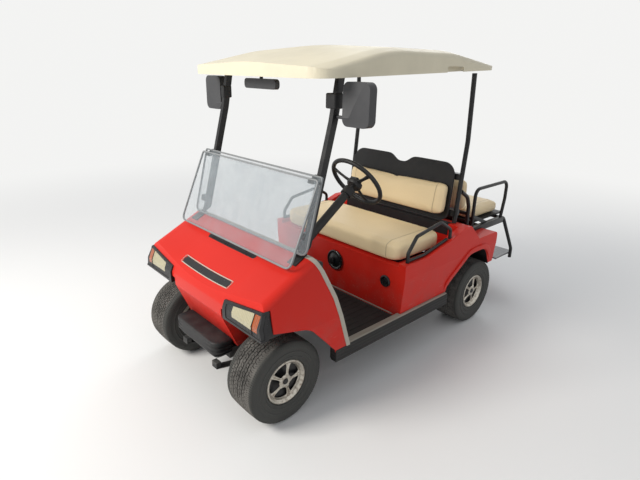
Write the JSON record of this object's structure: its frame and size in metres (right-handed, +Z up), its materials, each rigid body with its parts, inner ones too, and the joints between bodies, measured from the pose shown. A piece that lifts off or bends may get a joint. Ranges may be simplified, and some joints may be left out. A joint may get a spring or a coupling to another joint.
{
  "type": "golf cart",
  "caption": "Four-wheeled electric golf cart with a roof, a fold-down windshield, a front bench and a rear-facing flip seat with a footplate.",
  "frame": {"origin": "on the ground under the middle of the cart's length and width", "axes": "+X to the driver's side (the cart's left), +Y to the rear, +Z up; the cart drives towards -Y"},
  "size_m": [1.372, 2.7204, 1.8355],
  "materials": {
    "body_paint": "glossy moulded skin with fine scuffs",
    "cream_plastic": "satin moulded plastic",
    "cream_vinyl": "grained vinyl with sewn seams",
    "black_plastic": "textured moulded plastic",
    "grey_plastic": "textured moulded plastic",
    "black_metal": "satin paint on steel tube",
    "frame_metal": "dull paint on metal",
    "bare_metal": "dull bare metal",
    "wheel_trim": "dull plated wheel face",
    "tyre": "dusty ribbed rubber",
    "rubber": "ribbed rubber",
    "clear_glass": "clear sheet",
    "lens_clear": "clear moulded lens",
    "lens_amber": "amber moulded lens",
    "mirror": "mirror face",
    "plate": "raised pattern plate"
  },
  "bodies": {
    "chassis": {"backrest_shell": "black_plastic", "battery_pack": "black_plastic", "centre_mirror": "grey_plastic", "charge_socket": "black_plastic", "cowl_trim": "cream_plastic", "dash": "black_plastic", "drive_motor": "bare_metal", "floor_mat": "rubber", "floor_pan": "frame_metal", "footplate": "plate", "frame": "frame_metal", "front_axle": "bare_metal", "front_backrest": "cream_vinyl", "front_bumper": "black_plastic", "front_cowl": "body_paint", "front_springs": "bare_metal", "front_struts": "black_metal", "hip_restraints": "black_metal", "lamp_bezels": "black_plastic", "lamp_lenses": "lens_clear", "mirror_glasses": "mirror", "pedals": "black_plastic", "rear_arms": "black_metal", "rear_axle": "bare_metal", "rear_backrest": "cream_vinyl", "rear_body": "body_paint", "rear_liner": "black_plastic", "rear_seat_frame": "black_metal", "rear_springs": "bare_metal", "rear_struts": "black_metal", "rockers": "grey_plastic", "roof": "cream_plastic", "seat_brackets": "black_metal", "shifter": "black_plastic", "side_mirrors": "grey_plastic", "signal_lenses": "lens_amber", "steering_column": "black_plastic", "windshield_clips": "black_plastic", "windshield_lower": "clear_glass", "windshield_upper": "clear_glass"},
    "wheel_front_left": {"tyre_front_left": "tyre", "rim_front_left": "wheel_trim"},
    "wheel_front_right": {"tyre_front_right": "tyre", "rim_front_right": "wheel_trim"},
    "wheel_rear_left": {"tyre_rear_left": "tyre", "rim_rear_left": "wheel_trim"},
    "wheel_rear_right": {"tyre_rear_right": "tyre", "rim_rear_right": "wheel_trim"},
    "steered_left": {"knuckle_left": "bare_metal"},
    "steered_right": {"knuckle_right": "bare_metal"},
    "track_rod": {"tie_rod": "bare_metal"},
    "steering": {"steering_wheel": "black_plastic"},
    "front_bench": {"front_seat": "cream_vinyl"},
    "rear_bench": {"rear_seat": "cream_vinyl", "rear_seat_board": "black_plastic"}
  },
  "joints": [
    {"name": "wheel_front_left_spin", "type": "hinge", "parent": "steered_left", "child": "wheel_front_left", "pos_m": [0.438, -1.13175, 0.2285], "axis": [1, 0, 0], "continuous": true},
    {"name": "wheel_front_right_spin", "type": "hinge", "parent": "steered_right", "child": "wheel_front_right", "pos_m": [-0.438, -1.13175, 0.2285], "axis": [1, 0, 0], "continuous": true},
    {"name": "wheel_rear_left_spin", "type": "hinge", "parent": "chassis", "child": "wheel_rear_left", "pos_m": [0.489, 0.53225, 0.2285], "axis": [1, 0, 0], "continuous": true},
    {"name": "wheel_rear_right_spin", "type": "hinge", "parent": "chassis", "child": "wheel_rear_right", "pos_m": [-0.489, 0.53225, 0.2285], "axis": [1, 0, 0], "continuous": true},
    {"name": "steering_turn", "type": "hinge", "parent": "chassis", "child": "steering", "pos_m": [0.27, -0.42975, 1.078], "axis": [0, 0.8091, 0.5876], "range_deg": [-500, 500]},
    {"name": "steer_left", "type": "hinge", "parent": "chassis", "child": "steered_left", "pos_m": [0.31, -1.13175, 0.2285], "axis": [0, 0, 1], "range_deg": [-30, 30]},
    {"name": "steer_right", "type": "hinge", "parent": "chassis", "child": "steered_right", "pos_m": [-0.31, -1.13175, 0.2285], "axis": [0, 0, 1], "range_deg": [-30, 30]},
    {"name": "track_rod_swing", "type": "hinge", "parent": "steered_left", "child": "track_rod", "pos_m": [0.31, -1.01175, 0.2285], "axis": [0, 0, 1], "range_deg": [-30, 30]},
    {"name": "front_bench_lift", "type": "hinge", "parent": "chassis", "child": "front_bench", "pos_m": [0, 0.17425, 0.6323], "axis": [-1, 0, 0], "range_deg": [0, 55]},
    {"name": "rear_bench_flip", "type": "hinge", "parent": "chassis", "child": "rear_bench", "pos_m": [0, 1.12425, 0.6666], "axis": [-1, 0, 0], "range_deg": [0, 175]}
  ],
  "couplings": [
    {"joint": "steer_left", "follows": "steering_turn", "ratio": 0.06},
    {"joint": "steer_right", "follows": "steering_turn", "ratio": 0.06},
    {"joint": "track_rod_swing", "follows": "steering_turn", "ratio": -0.06}
  ]
}
